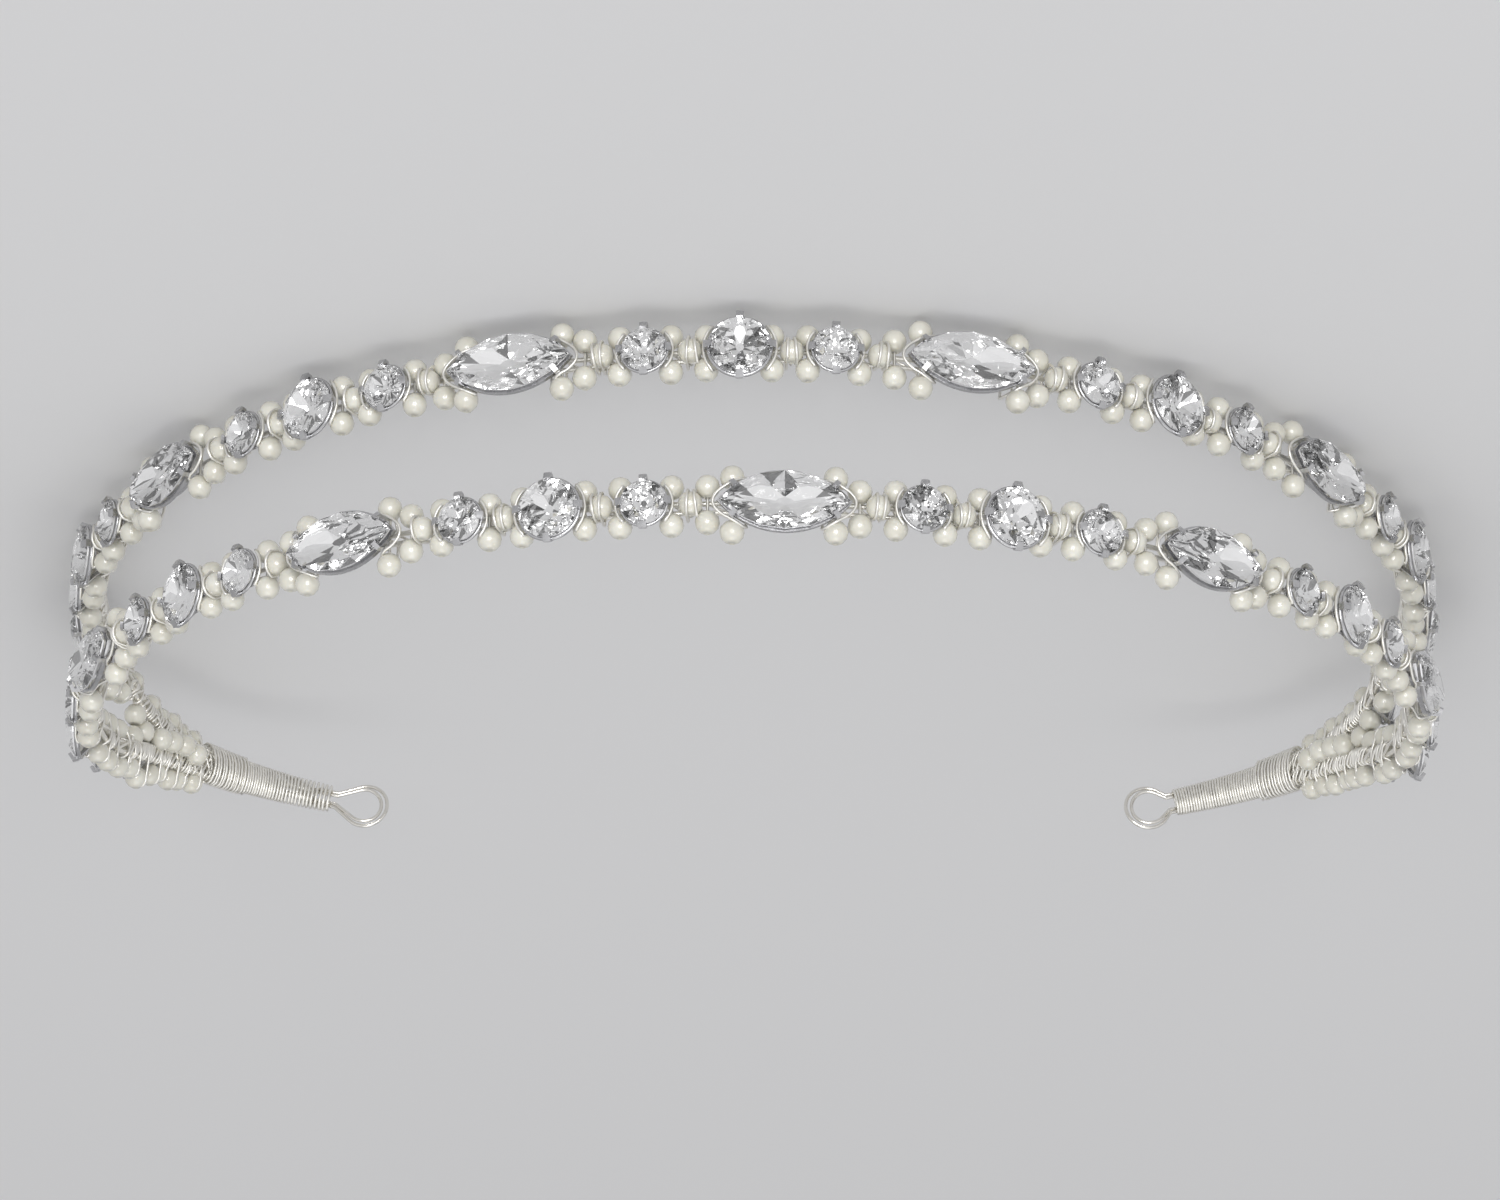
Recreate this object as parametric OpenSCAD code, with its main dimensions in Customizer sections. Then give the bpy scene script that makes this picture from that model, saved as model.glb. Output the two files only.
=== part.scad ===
// Two-row bridal headband of wired pearls and crystals, lying on its side, in millimetres.
// The rear band is underneath and the front band on top. +Z is toward the wearer's face,
// the middle of the headband is at -Y and both ends are at +Y.
// Along a band, s is the distance from its middle, positive toward +X. In a station's own
// axes x runs along the band, y across it toward the front and z away from the head.

/* [Hoop] */
// Radius over the crown of the head
crown_r = 80.5; // [78:0.5:83]
// Radius over the temples
temple_r = 82.5; // [80:0.5:85]
// Radius behind the temples
side_r = 67; // [64:0.5:70]
// Radius where the two bands turn toward each other
gather_r = 52; // [50:0.5:54]
// Radius of the last beads before the wrap
nape_r = 40; // [38:0.5:42]
// Radius of the wrapped end
wrap_bend_r = 17; // [15:0.5:24]
// Distance between the two bands at the middle
band_gap = 18.6; // [18:0.1:20]
// Slope of each band toward the other one, in degrees
band_lean = 1.7; // [1.5:0.1:2]
// Roll of the turn that brings the bands together, in degrees
gather_roll = 50.5; // [49:0.5:51]
// Roll of the turn that makes them parallel again, in degrees
level_roll = 31.5; // [31:0.5:32]
// Rise of the wrapped ends toward the front, in degrees of roll
wrap_roll = 16; // [0:1:30]

/* [Pattern] */
// Length of one repeat, from one marquise to the next
repeat = 52.2; // [52:0.1:53]
// Distance from a marquise to the small stone beside it
small_offset = 15.5; // [15.4:0.1:15.6]
// Place of the front band's middle marquise
front_shift = -3.4; // [-4:0.1:-3]
// Place of the rear band's middle round stone
rear_shift = 1.6; // [1:0.1:2]
// Place of the one small stone that fills the left end of the front band
last_stone = 148.5; // [148:0.1:149]

/* [Stones] */
// Length of a marquise stone
marquise_length = 15; // [14:0.1:15.5]
// Width of a marquise stone
marquise_width = 7; // [6.5:0.1:7.2]
// Diameter of a large round stone
large_d = 7.1; // [6.8:0.1:7.2]
// Diameter of a small round stone
small_d = 5.3; // [5:0.1:5.4]
// Height of the large stones' girdle above the middle of the base wires
large_height = 3.1; // [3:0.05:3.2]
// Height of the small stones' girdle above the middle of the base wires
small_height = 2.9; // [2.8:0.05:3]

/* [Pearls] */
// Diameter of a pearl
pearl_d = 2.9; // [2.8:0.05:2.9]
// Diameter of the hole drilled through it
pearl_bore = 0.6; // [0.5:0.05:0.8]

/* [Wire] */
// Diameter of the two base wires of each band
base_wire_d = 0.6; // [0.5:0.05:0.6]
// Distance between those two wires
base_wire_pitch = 1.1; // [1:0.05:1.2]
// Diameter of the wire that binds pearls and stones to them
binding_wire_d = 0.35; // [0.3:0.05:0.35]
// Diameter of the loop at each end
loop_wire_d = 0.9; // [0.7:0.05:0.9]
// Outer width of that loop
loop_width = 5.6; // [5:0.1:6]
// Distance that the loop stands out of the wrap
loop_reach = 6.6; // [6:0.1:7.2]
// Length of the wire wrap at each end
wrap_length = 17.5; // [15:0.5:19]

/* [Hidden] */
$fn = 32;

// How far along each half of the band the pearls are drilled beads on the wire
strung_to = 104;
// How far the rows of pearls run on to each side, between the bands and outside them
inner_row_to = 141;
outer_row_to = 157;
// Row of pearls as a plain string beyond strung_to
row_y = 2.7;
row_z = 0.5;
row_r = 0.65;
row_sides = 8;
row_step = 4.5;

// Each half of a band is a chain of arcs. Columns: length, radius, roll toward the other
// band and roll toward the front.
ARCS = [
    [70, crown_r, 0, 0],
    [30, temple_r, 0, 0],
    [25, side_r, 0, 0],
    [18, gather_r, gather_roll, 0],
    [20, nape_r, -level_roll, 0],
    [wrap_length, wrap_bend_r, 0, wrap_roll]
];
WRAP = len(ARCS) - 1;
function reach(i) = i == 0 ? 0 : ARCS[i - 1][0] + reach(i - 1);
// How far the base wires run into the wrap, and the loop's legs from its other end
wire_in_wrap = 2;
leg_in_wrap = 3;

// Kinds of crossing of the binding wire. Columns of CROSSINGS: distance from the middle
// of the marquise, and kind. The list covers half a repeat, up to the large round stone.
STONE = 0;
MID = 1;
PAIR = 2;
OUTER = 3;
CROSSINGS = [
    [2.0, STONE],
    [5.75, OUTER],
    [8.5, PAIR],
    [10.5, MID],
    [12.5, PAIR],
    [small_offset + 0.6, STONE],
    [small_offset + 2.9, PAIR],
    [small_offset + 4.9, MID],
    [small_offset + 6.9, PAIR],
    [repeat / 2 - 0.6, STONE]
];
// Place of a kind's pearls across the band and above the base wires. Rows follow the
// kinds above, and a stone's row has none.
PEARL_YZ = [[0, 0], [0, 1.75], [2.15, 1.0], [3.35, 1.2]];

pearl_r = pearl_d / 2;
large_r = large_d / 2;
small_r = small_d / 2;
binding_r = binding_wire_d / 2;
loop_r = loop_width / 2 - loop_wire_d / 2;

// The lowest turn of the binding wire, round the rear band's outer pearls, is what the
// headband lies on
turn_clearance = 0.35;
turn_corner = 0.25;
rest_drop = PEARL_YZ[OUTER][0] + pearl_r + turn_clearance + turn_corner;
lift = band_gap / 2 * cos(band_lean) + rest_drop;
// Depth from the middle of the headband to the centre of its footprint
centre_back = 58.6;

// Heights in a station of the parts under a stone
culet_z = 1.5;
basket_z = 0.5;
over_rail_z = 1.25;
under_wires_z = -0.8;

function move(x, y, z) = [[1, 0, 0, x], [0, 1, 0, y], [0, 0, 1, z], [0, 0, 0, 1]];
function turn_x(a) =
    [[1, 0, 0, 0], [0, cos(a), -sin(a), 0], [0, sin(a), cos(a), 0], [0, 0, 0, 1]];
function turn_y(a) =
    [[cos(a), 0, sin(a), 0], [0, 1, 0, 0], [-sin(a), 0, cos(a), 0], [0, 0, 0, 1]];
function apply(m, p) = let (q = m * [p[0], p[1], p[2], 1]) [q[0], q[1], q[2]];
function unit(v) = v / norm(v);
SAME = move(0, 0, 0);
MIRROR = [[-1, 0, 0, 0], [0, 1, 0, 0], [0, 0, 1, 0], [0, 0, 0, 1]];

// Lays the headband down with its rear band level and its footprint round the origin
LAY = move(0, -centre_back, lift) * turn_x(-band_lean);

// Station at distance s along a band, where band is 1 for the front and -1 for the rear
function start(band) = move(0, 0, band * band_gap / 2) * turn_x(90 - band * band_lean);
function roll(band, row) = row[3] - band * row[2];
function arc_angle(row, len) = len / row[1] * 180 / PI;
function along(m, row, len, band) =
    m * turn_x(roll(band, row)) * move(0, 0, -row[1]) * turn_y(arc_angle(row, len))
      * move(0, 0, row[1]) * turn_x(-roll(band, row));
function walk(band, m, len, i = 0) =
    i == WRAP || len <= ARCS[i][0]
        ? along(m, ARCS[i], len, band)
        : walk(band, along(m, ARCS[i], ARCS[i][0], band), len - ARCS[i][0], i + 1);
function mirrored(m, s) = s < 0 ? MIRROR * m * MIRROR : m;
function station(band, s) = LAY * mirrored(walk(band, start(band), abs(s)), s);

// Station in a wrapped end, at distance u from where the bands meet, on the side of s
function meeting(m) =
    let (x = unit([m[0][0], m[1][0], 0]), z = cross(x, [0, 0, 1]))
    [[x[0], 0, z[0], m[0][3]], [x[1], 0, z[1], m[1][3]], [0, 1, 0, 0], [0, 0, 0, 1]];
function end_station(side, u) =
    LAY * mirrored(along(meeting(walk(1, start(1), reach(WRAP))), ARCS[WRAP], u, 1), side);

// Pattern
function phase(band) = band > 0 ? front_shift : rear_shift + repeat / 2;
function marquises(band) =
    [for (k = [-3:2]) let (s = phase(band) + k * repeat) if (abs(s) < 136) s];
function rounds(band) =
    [for (k = [-3:2]) let (s = phase(band) + (k + 0.5) * repeat) if (abs(s) < 136) s];
function smalls(band) = concat(
    [for (k = [-3:3], way = [-1, 1])
        let (s = phase(band) + k * repeat + way * small_offset) if (abs(s) < 146) s],
    band > 0 ? [last_stone] : []
);
function crossings(band) =
    let (last = len(CROSSINGS) - 1)
    [for (k = [-4:3], way = [-1, 1], i = [0:last])
        let (row = CROSSINGS[way < 0 ? last - i : i], s = phase(band) + k * repeat + way * row[0])
        if (abs(s) < strung_to && !(way < 0 && i == 0)) [s, row[1]]];

// Turn of the binding wire at one crossing, as points across the band and above it
function half_turn(kind) =
    kind == STONE ? [[2.15, over_rail_z], [2.15, 0.4], [1, -0.65]] :
    kind == MID ? [[1.85, PEARL_YZ[MID][1]], [1, under_wires_z]] :
    [for (a = [0, 45, 90])
        PEARL_YZ[kind] + (pearl_r + turn_clearance) * [cos(a), -sin(a)]];
function full_turn(kind) =
    let (half = half_turn(kind), n = len(half))
    concat([for (i = [n - 1:-1:0]) [-half[i][0], half[i][1]]], half);

// Skin over a list of rings with the same number of points, capped or closed on itself
module skin(rings, closed = false) {
    n = len(rings);
    k = len(rings[0]);
    steps = closed ? n : n - 1;
    sides = [for (i = [0:steps - 1], j = [0:k - 1])
        let (a = i * k, b = (i + 1) % n * k, j2 = (j + 1) % k)
        each [[a + j, b + j, b + j2], [a + j, b + j2, a + j2]]];
    caps = closed ? [] : [[for (j = [0:k - 1]) j], [for (j = [k - 1:-1:0]) (n - 1) * k + j]];
    polyhedron(points = [for (ring = rings) each ring], faces = concat(sides, caps));
}

// Round wire through points; refs holds a direction square to the bend at each point
module wire(points, refs, r, sides) {
    n = len(points);
    rings = [for (i = [0:n - 1])
        let (
            before = unit(points[max(i, 1)] - points[max(i, 1) - 1]),
            after = unit(points[min(i, n - 2) + 1] - points[min(i, n - 2)]),
            d = unit(before + after),
            u = unit(refs[i] - d * (d * refs[i])),
            v = cross(d, u) / sqrt((1 + before * after) / 2)
        )
        [for (j = [0:sides - 1]) points[i] + r * (cos(360 * j / sides) * u + sin(360 * j / sides) * v)]];
    skin(rings);
}

module place(band, s) multmatrix(station(band, s)) children();

// Straight round bar between two points, with a bead at its far end
module bar(a, b, r) {
    d = b - a;
    translate(a)
        rotate([0, acos(d[2] / norm(d)), atan2(d[1], d[0])])
            cylinder(h = norm(d), r = r);
    translate(b) sphere(r = r * 1.08);
}

// Outline of a stone: a circle, or two arcs that meet in points when it is longer than wide
function outline(a, b, angle) =
    a == b ? a * [cos(angle), sin(angle)] :
    let (x = a * cos(angle), r = (a * a + b * b) / (2 * b))
    [x, sign(sin(angle)) * (sqrt(r * r - x * x) - r + b)];

// Brilliant cut with eight main facets above and below the girdle. Heights are given
// above the girdle's middle; the table and the culet are flat.
module brilliant(a, b, crown, pavilion, table, culet) {
    edge = 0.1;
    upper = 0.8;
    lower = 0.5;
    function ring(n, first, kx, ky, z) = [for (i = [0:n - 1])
        let (p = outline(a, b, first + i * 360 / n)) [p[0] * kx, p[1] * ky, z]];
    function between(k, inner) = (k * cos(22.5) - inner) / (1 - inner);
    points = concat(
        ring(8, 0, table[0], table[1], crown),
        ring(8, 22.5, (1 + table[0]) / 2, upper, crown - (crown - edge) * between(upper, table[1])),
        ring(16, 0, 1, 1, edge),
        ring(16, 0, 1, 1, -edge),
        ring(8, 22.5, lower, lower, -pavilion + (pavilion - edge) * between(lower, culet)),
        ring(8, 0, culet, culet, -pavilion)
    );
    function t(i) = i % 8;
    function m(i) = 8 + (i + 8) % 8;
    function g(i) = 16 + i % 16;
    function h(i) = 32 + i % 16;
    function q(i) = 48 + (i + 8) % 8;
    function c(i) = 56 + i % 8;
    faces = concat(
        [[for (i = [7:-1:0]) t(i)], [for (i = [0:7]) c(i)]],
        [for (i = [0:7]) each [
            [t(i + 1), m(i), t(i)],
            [g(2 * i), m(i - 1), t(i)],
            [m(i), g(2 * i), t(i)],
            [g(2 * i + 1), g(2 * i), m(i)],
            [g(2 * i + 2), g(2 * i + 1), m(i)],
            [h(2 * i + 1), q(i), h(2 * i)],
            [h(2 * i + 2), q(i), h(2 * i + 1)],
            [c(i), q(i - 1), h(2 * i)],
            [q(i), c(i), h(2 * i)],
            [c(i + 1), c(i), q(i)]
        ]],
        [for (i = [0:15]) each [[h(i + 1), h(i), g(i)], [g(i + 1), h(i + 1), g(i)]]]
    );
    polyhedron(points = points, faces = faces);
}

module marquise_stone(band, i)
    color("gainsboro") place(band, marquises(band)[i]) translate([0, 0, large_height])
        brilliant(marquise_length / 2, marquise_width / 2, 1.2, large_height - culet_z,
            [0.72, 0.52], 0.14);

module round_stone(band, i)
    color("gainsboro") place(band, rounds(band)[i]) translate([0, 0, large_height])
        brilliant(large_r, large_r, 1.1, large_height - culet_z, [0.56, 0.56], 0.14);

// Small stone in a simple cut: table, eight crown facets, girdle and eight pavilion facets
module small_stones() {
    levels = [[0.15, culet_z - small_height], [1, -0.1], [1, 0.1], [0.56, 0.85]];
    rings = [for (level = levels)
        [for (i = [0:7]) let (p = outline(small_r, small_r, i * 45) * level[0]) [p[0], p[1], level[1]]]];
    color("gainsboro")
        for (band = [1, -1], s = smalls(band))
            place(band, s) translate([0, 0, small_height]) skin(rings);
}

// Outline of a strip of even thickness along a flat path
function strip(path, thick) =
    let (n = len(path), sides = [for (i = [0:n - 1])
        let (
            before = unit(path[max(i, 1)] - path[max(i, 1) - 1]),
            after = unit(path[min(i, n - 2) + 1] - path[min(i, n - 2)]),
            d = unit(before + after)
        )
        [-d[1], d[0]] * thick / 2 / sqrt((1 + before * after) / 2)])
    concat([for (i = [0:n - 1]) path[i] + sides[i]], [for (i = [n - 1:-1:0]) path[i] - sides[i]]);

// Side view of a flat prong, along the given points to below the girdle, out over it, and
// down onto the crown, measured outward from the stone's edge
function prong(rise, girdle_z, tip, thick) =
    let (shoulder = [thick / 2 + 0.2, girdle_z + 0.3])
    strip(concat(rise, [shoulder, shoulder + tip * [-0.84, 0.54]]), thick);

// Open basket of a round stone: base ring, upper ring and four prongs, two of them in line
// with the band and two across it
module round_basket(stone_r, girdle_z, base_r, rail_r, thick) {
    angle = 0.8 / stone_r * 180 / PI;
    base_z = basket_z + rail_r;
    rise = [[base_r - stone_r, base_z], [-0.65, girdle_z - 1], [0.3, girdle_z - 0.15]];
    path = prong(rise, girdle_z, stone_r / 4, thick);
    translate([0, 0, base_z]) rotate_extrude() translate([base_r, 0]) circle(r = rail_r);
    translate([0, 0, girdle_z - 0.45]) rotate_extrude() translate([stone_r, 0]) circle(r = rail_r);
    for (a = [0:90:270])
        rotate(a - angle / 2) rotate_extrude(angle = angle) translate([stone_r, 0]) polygon(path);
}

module round_setting(band, i)
    color("silver") place(band, rounds(band)[i])
        round_basket(large_r, large_height, 1.6, 0.25, 0.4);

module small_settings()
    color("silver")
        for (band = [1, -1], s = smalls(band))
            place(band, s) round_basket(small_r, small_height, 1.15, 0.2, 0.36);

// Flat lens of two arcs, a long and b wide on each side of its middle
module lens(a, b) {
    r = (a * a + b * b) / (2 * b);
    intersection() {
        translate([0, r - b]) circle(r = r);
        translate([0, b - r]) circle(r = r);
    }
}

module lens_rail(a, b, width, z)
    translate([0, 0, z]) linear_extrude(0.5) difference() {
        lens(a, b);
        lens(a - width * a / b, b - width);
    }

// Open basket of a marquise: two pointed rails, and two prongs at each point, which stand on
// the lower rail's point
module marquise_setting(band, i) {
    a = marquise_length / 2;
    b = marquise_width / 2;
    curve = (a * a + b * b) / (2 * b);
    at = a - 1.75;
    edge_y = sqrt(curve * curve - at * at) - curve + b;
    rise = [[-2.2, basket_z + 0.25], [0.3, large_height - 0.55]];
    color("silver") place(band, marquises(band)[i]) {
        lens_rail(4.85, 1.95, 0.45, basket_z);
        lens_rail(a + 0.2, b + 0.2, 0.4, large_height - 0.95);
        for (x = [-1, 1], y = [-1, 1])
            translate([x * at, y * edge_y, 0])
                rotate([90, 0, atan2(y * (edge_y + curve - b), x * at)])
                    linear_extrude(0.6, center = true)
                        polygon(prong(rise, large_height, 0.8, 0.45));
    }
}

// Pearls drilled across the band for the binding wire
module pearls(band)
    color("ivory")
        for (c = crossings(band))
            if (c[1] != STONE)
                for (y = c[1] == MID ? [0] : [-1, 1] * PEARL_YZ[c[1]][0])
                    place(band, c[0]) translate([0, y, PEARL_YZ[c[1]][1]]) difference() {
                        sphere(r = pearl_r);
                        rotate([90, 0, 0]) cylinder(h = pearl_d + 1, d = pearl_bore, center = true);
                    }

// The rows of pearls beyond the drilled ones, each a plain string between them and the wrap
module pearl_rows(band)
    color("ivory")
        for (side = [-1, 1], row = [[band, outer_row_to], [-band, inner_row_to]]) {
            from = strung_to + 2.5;
            n = round((row[1] - from) / row_step);
            at = [for (i = [0:n]) station(band, side * (from + (row[1] - from) * i / n))];
            wire([for (m = at) apply(m, [0, row[0] * row_y, row_z])],
                [for (m = at) [m[0][2], m[1][2], m[2][2]]], row_r, row_sides);
        }

// Thin wire that runs round the base wires and through every pearl, one turn a crossing
module binding_wire(band) {
    turns = [for (c = crossings(band)) let (m = station(band, c[0]))
        each [for (p = full_turn(c[1])) [apply(m, [0, p[0], p[1]]), [m[0][0], m[1][0], m[2][0]]]]];
    color("silver") wire([for (t = turns) t[0]], [for (t = turns) t[1]], binding_r, 5);
}

// One base wire: one arc over the middle and a chain of arcs on each side of it, which end
// just short of each other inside a bead; side is 1 toward the front
module base_wire(band, side) {
    y = side * base_wire_pitch / 2;
    gap = 0.05;
    to_axis = [[0, 1, 0, 0], [0, 0, 1, 0], [1, 0, 0, 0], [0, 0, 0, 1]];
    color("silver")
        for (i = [0:WRAP], half = i == 0 ? [SAME] : [SAME, MIRROR]) {
            row = ARCS[i];
            tilt = roll(band, row);
            joint = LAY * half * walk(band, start(band), reach(i));
            from = gap - (i == 0 ? row[0] : 0);
            to = (i == WRAP ? wire_in_wrap : row[0]) - gap;
            if (i > 0)
                multmatrix(joint) translate([0, y, 0]) rotate([0, 90, 0]) sphere(d = base_wire_d * 1.2);
            multmatrix(joint * turn_x(tilt) * move(0, 0, -row[1]) * to_axis)
                rotate(arc_angle(row, from)) rotate_extrude(angle = arc_angle(row, to - from), $fn = 240)
                    translate([row[1] - y * sin(tilt), y * cos(tilt)]) circle(d = base_wire_d, $fn = 32);
        }
}

// Wire wrap over both bands' ends, as a sleeve that narrows toward the loop; side is 1 for
// the end at +X and -1 for the other
module wire_wrap(side) {
    n = 10;
    function ring(i, inset) =
        let (m = end_station(side, i * wrap_length / n), high = 2.5 - 0.65 * i / n - inset,
            thick = side * (1.35 - 0.2 * i / n - inset))
        [for (j = [0:15]) apply(m, [0, high * cos(j * 22.5), thick * sin(j * 22.5)])];
    color("silver")
        skin(concat([for (i = [0:n]) ring(i, 0)], [for (i = [n:-1:0]) ring(i, binding_wire_d)]), closed = true);
}

// Teardrop loop for a pin or ribbon, with its two legs held in the wrap
module end_loop(side) {
    r = loop_wire_d / 2;
    leg = [0.2, 0.6];
    centre = loop_reach - loop_r - r;
    apart = norm([centre - leg[0], leg[1]]);
    tangent = sqrt(apart * apart - loop_r * loop_r);
    slope = asin(loop_r / apart) - atan2(leg[1], centre - leg[0]);
    color("silver") multmatrix(end_station(side, wrap_length) * (side < 0 ? MIRROR : SAME)) {
        translate([centre, 0, 0]) rotate(-90 - slope)
            rotate_extrude(angle = 180 + 2 * slope) translate([loop_r, 0]) circle(r = r);
        for (y = [-1, 1]) {
            foot = [-leg_in_wrap, y * leg[1], 0];
            knee = [leg[0], y * leg[1], 0];
            bar(foot, knee, r);
            bar(knee, knee + tangent * [cos(slope), y * sin(slope), 0], r);
        }
    }
}

// Names of the pieces
BANDS = [["front", 1], ["rear", -1]];
ENDS = [["left", 1], ["right", -1]];

for (b = BANDS) {
    for (i = [1:len(marquises(b[1]))]) {
        marquise_stone(b[1], i - 1);
        marquise_setting(b[1], i - 1);
    }
    for (i = [1:len(rounds(b[1]))]) {
        round_stone(b[1], i - 1);
        round_setting(b[1], i - 1);
    }
    pearls(b[1]);
    pearl_rows(b[1]);
    binding_wire(b[1]);
    base_wire(b[1], 1);
    base_wire(b[1], -1);
}
small_stones();
small_settings();
for (e = ENDS) {
    wire_wrap(e[1]);
    end_loop(e[1]);
}
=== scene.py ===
import bpy
import numpy as np
from mathutils import Matrix


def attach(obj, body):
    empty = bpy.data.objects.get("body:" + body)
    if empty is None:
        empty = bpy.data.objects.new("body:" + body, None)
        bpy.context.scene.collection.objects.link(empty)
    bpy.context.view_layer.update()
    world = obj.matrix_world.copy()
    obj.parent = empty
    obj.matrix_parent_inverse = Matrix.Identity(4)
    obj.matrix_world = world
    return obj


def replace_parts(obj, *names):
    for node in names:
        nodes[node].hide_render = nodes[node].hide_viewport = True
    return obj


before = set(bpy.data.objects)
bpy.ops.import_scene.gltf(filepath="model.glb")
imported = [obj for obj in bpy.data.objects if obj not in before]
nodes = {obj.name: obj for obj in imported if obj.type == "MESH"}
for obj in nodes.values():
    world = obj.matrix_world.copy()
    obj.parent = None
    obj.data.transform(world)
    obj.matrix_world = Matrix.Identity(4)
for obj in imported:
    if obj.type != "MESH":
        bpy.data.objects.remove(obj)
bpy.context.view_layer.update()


# Base wires. Two silver-plated wires carry each row. They are bent together to the curve of
# the head, lean toward the other row, and run into the wrap at both ends.
MM = 0.001
BANDS = {"front": 1, "rear": -1}
# Gap between the rows at their middles, and degrees by which each leans toward the other
BAND_GAP = 18.6
BAND_LEAN = 1.7
# Height of the rear row above the floor, and distance of both rows' middles from the Z axis
REAR_HEIGHT = 5.4
TO_MIDDLE = 58.6
LIFT = BAND_GAP / 2 * np.cos(np.radians(BAND_LEAN)) + REAR_HEIGHT
# Arcs of half a row: length, radius, roll toward the other row, roll toward the front
ARCS = [
    (70, 80.5, 0, 0),
    (30, 82.5, 0, 0),
    (25, 67, 0, 0),
    (18, 52, 50.5, 0),
    (20, 40, -31.5, 0),
    (17.5, 17, 0, 16),
]
WRAP_FROM = sum(arc[0] for arc in ARCS[:-1])


def moved(x=0, y=0, z=0):
    """4x4 matrix of a shift."""
    m = np.eye(4)
    m[:3, 3] = x, y, z
    return m


def turned(axis, degrees):
    """4x4 rotations about x or y, one for each angle: cosines on the diagonal of the other two
    axes, the sine from the first to the second of them, and minus the sine back."""
    a = np.radians(np.atleast_1d(np.asarray(degrees, float)))
    i, j = {"x": (1, 2), "y": (2, 0)}[axis]
    m = np.tile(np.eye(4), (len(a), 1, 1))
    m[:, i, i] = m[:, j, j] = np.cos(a)
    m[:, j, i] = np.sin(a)
    m[:, i, j] = -np.sin(a)
    return m


def along(arc, lengths, band):
    """Frames at the given lengths along an arc: rolled, turned about the arc's centre by
    length over radius, and rolled back."""
    _, radius, to_other_row, to_front = arc
    roll = to_front - band * to_other_row
    turn = turned("y", np.degrees(np.asarray(lengths, float) / radius))
    return turned("x", roll) @ moved(z=-radius) @ turn @ moved(z=radius) @ turned("x", -roll)


MIRROR = np.diag([-1.0, 1, 1, 1])
# The pair of rows is turned until the rear one is level, and moved to its place
LAY = moved(y=-TO_MIDDLE, z=LIFT) @ turned("x", -BAND_LEAN)[0]


def start(band):
    """Frame at the middle of a row."""
    return moved(z=band * BAND_GAP / 2) @ turned("x", 90 - band * BAND_LEAN)[0]


def half_row(band, s):
    """Frames at distances s along half a row, before it is laid down: each arc carries on from
    the last one's end."""
    m = np.empty((len(s), 4, 4))
    joint, begin = start(band), 0
    for arc in ARCS:
        beyond = s >= begin
        m[beyond] = joint @ along(arc, s[beyond] - begin, band)
        joint = joint @ along(arc, arc[0], band)[0]
        begin += arc[0]
    return m


def station(band, s):
    """Frames at distances s along a row from its middle: x along the row, y across it toward
    the front row, z away from the head. The half at -X mirrors the other."""
    s = np.atleast_1d(np.asarray(s, float))
    m = half_row(band, np.abs(s))
    m[s < 0] = MIRROR @ m[s < 0] @ MIRROR
    return LAY @ m


def group(name, label):
    """A new material and its node tree, with the shader that comes with it."""
    material = bpy.data.materials.new(name)
    material.use_nodes = True
    tree = material.node_tree
    shader = tree.nodes["Principled BSDF"]
    shader.label = label
    return material, tree, shader


def node(tree, kind, links=None, **settings):
    """A shader node with its settings, its inputs set to values or linked to outputs."""
    new = tree.nodes.new(kind)
    for key, value in settings.items():
        setattr(new, key, value)
    for key, value in (links or {}).items():
        if isinstance(value, bpy.types.NodeSocket):
            tree.links.new(value, new.inputs[key])
        else:
            new.inputs[key].default_value = value
    return new


def clouded(tree, shader, scale, detail, stops):
    """Base colour from noise on Object coordinates, through a ramp of two stops, each a noise
    value and its colour. Returns the noise itself."""
    place = node(tree, "ShaderNodeTexCoord")
    noise = node(tree, "ShaderNodeTexNoise", {
        "Vector": place.outputs["Object"], "Scale": scale, "Detail": detail})
    ramp = node(tree, "ShaderNodeValToRGB", {"Fac": noise.outputs["Fac"]})
    for element, (position, colour) in zip(ramp.color_ramp.elements, stops):
        element.position = position
        element.color = (*colour, 1)
    tree.links.new(ramp.outputs["Color"], shader.inputs["Base Color"])
    return noise.outputs["Fac"]


def metal(name, colour, dark, roughness, grain, relief):
    """Polished plated metal: fine noise varies its colour from dark to full and its roughness
    from seven tenths to seven fifths, and raises a slight relief."""
    material, tree, shader = group(name, "plate")
    noise = clouded(tree, shader, grain, 3, [(0, dark), (1, colour)])
    rough = node(tree, "ShaderNodeMapRange", {
        "Value": noise, "From Min": 0.3, "From Max": 0.7,
        "To Min": roughness * 0.7, "To Max": roughness * 1.4})
    tree.links.new(rough.outputs["Result"], shader.inputs["Roughness"])
    bump = node(tree, "ShaderNodeBump", {"Height": noise, "Strength": relief, "Distance": 0.1 * MM})
    tree.links.new(bump.outputs["Normal"], shader.inputs["Normal"])
    shader.inputs["Metallic"].default_value = 1
    return material


silver_wire = metal("silver_wire", (0.96, 0.95, 0.91), (0.86, 0.84, 0.79), 0.4, 1400, 0.25)
for band in BANDS:
    for side in ("upper", "lower"):
        nodes[f"{band}_{side}_wire"].data.materials[0] = silver_wire


# Settings. Each crystal sits in an open basket of stamped, silver-plated brass, whose four
# claws are bent over its edge. The baskets hold the wire's turns that pass under the stone.
plated_brass = metal("plated_brass", (0.66, 0.66, 0.67), (0.42, 0.42, 0.43), 0.25, 900, 0.3)
for name, piece in nodes.items():
    if "_setting" in name:
        piece.data.materials[0] = plated_brass


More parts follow.
